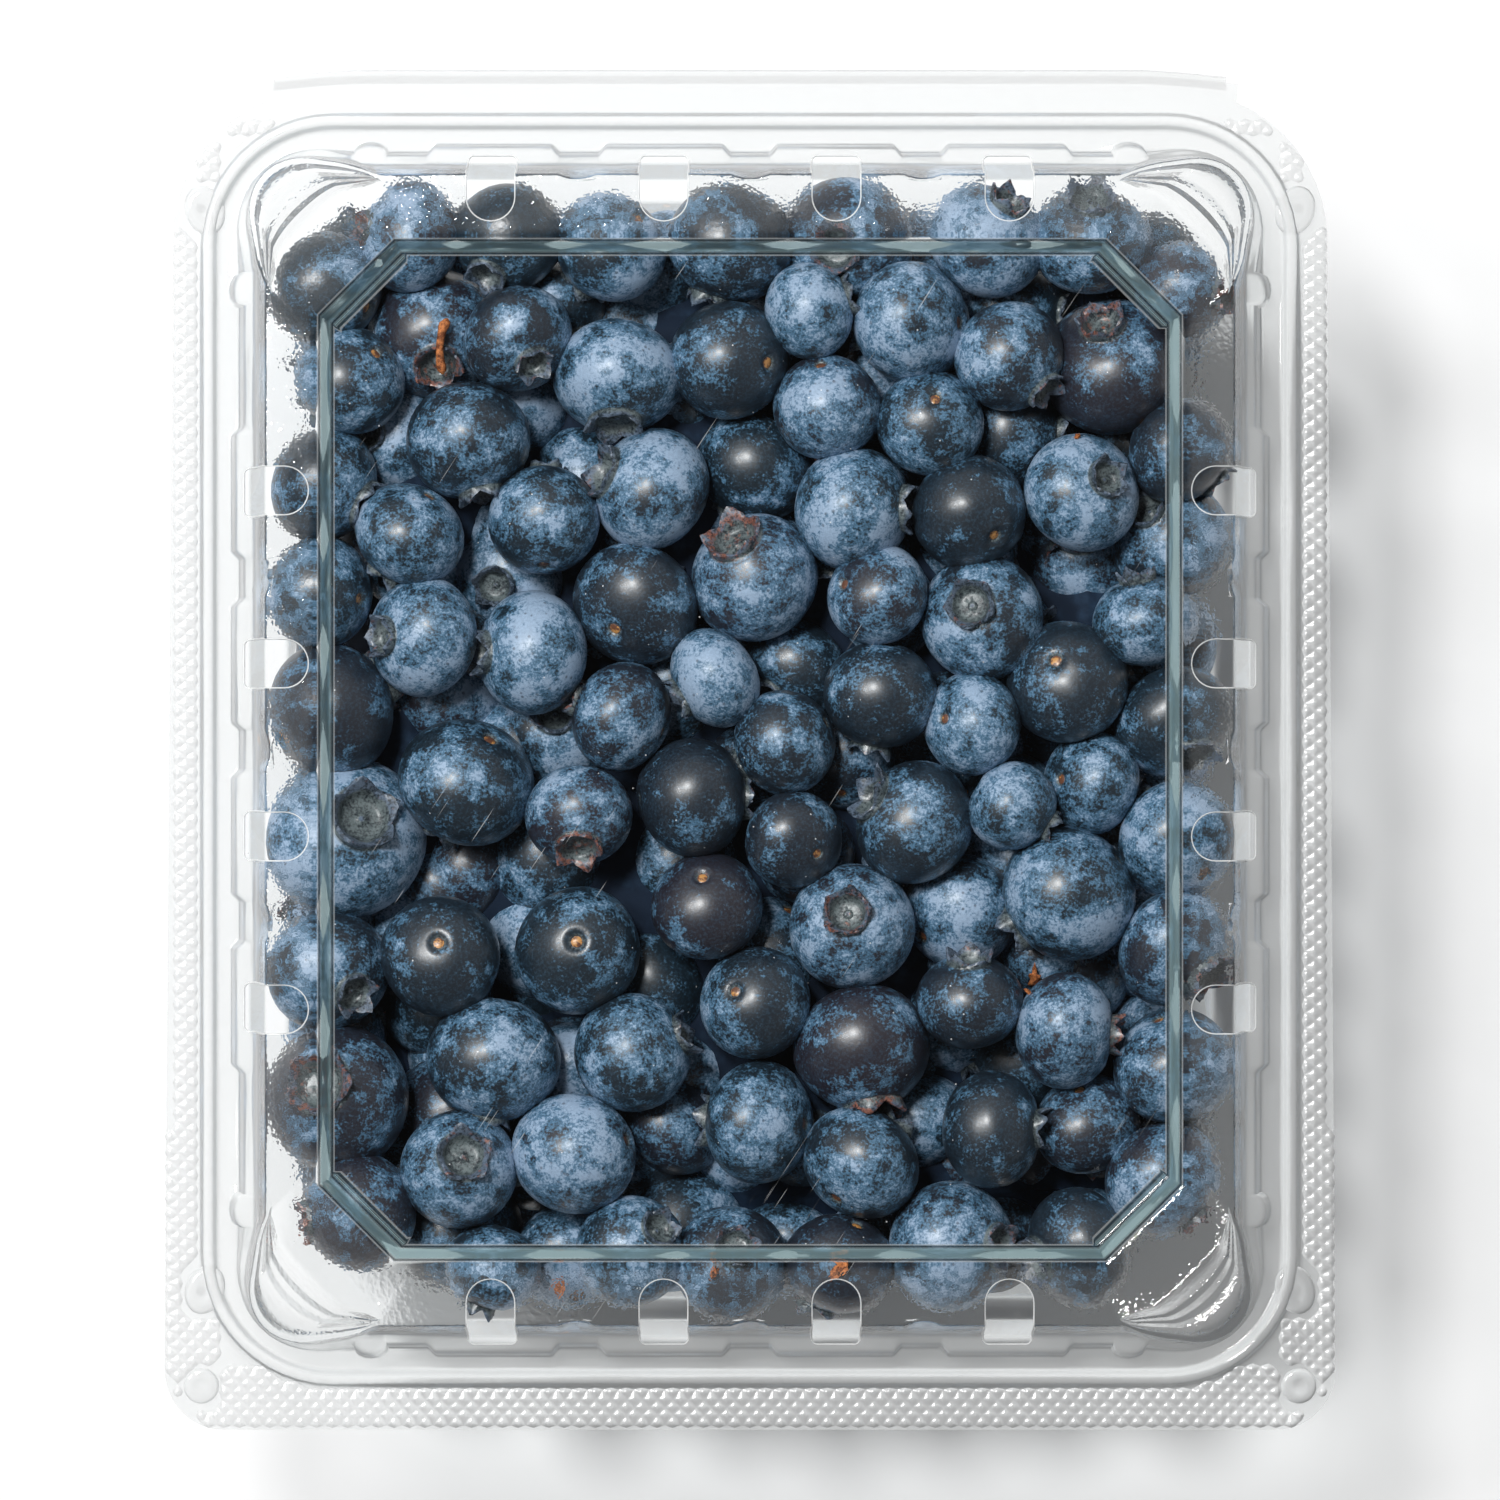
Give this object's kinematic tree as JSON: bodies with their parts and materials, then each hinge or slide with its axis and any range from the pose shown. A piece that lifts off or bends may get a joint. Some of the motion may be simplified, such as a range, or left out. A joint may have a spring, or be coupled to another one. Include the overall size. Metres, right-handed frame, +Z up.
{
  "type": "punnet of blueberries",
  "caption": "Clear folded punnet with a hinged, vented lid and a tapered tub, filled with loose blueberries",
  "frame": {"origin": "centre of the pack's outline, on the surface that it stands on", "axes": "+Z up, +Y from the front edge to the lid's hinge, +X to the right seen from the front"},
  "size_m": [0.1266, 0.1468, 0.0576],
  "materials": {
    "clear_sheet": "clear thin formed plastic sheet, glossy, lightly scuffed, with a knurled rim",
    "berry_skin": "dark blue fruit skin with a pale blue-grey waxy bloom, crowned ends and small orange-brown stem scars"
  },
  "bodies": {
    "tub": {"base": "clear_sheet", "berries": "berry_skin"},
    "lid": {"lid": "clear_sheet"}
  },
  "joints": [
    {"name": "lid_hinge", "type": "hinge", "parent": "tub", "child": "lid", "pos_m": [0, 0.07275, 0.04215], "axis": [-1, 0, 0], "range_deg": [0, 180]}
  ]
}
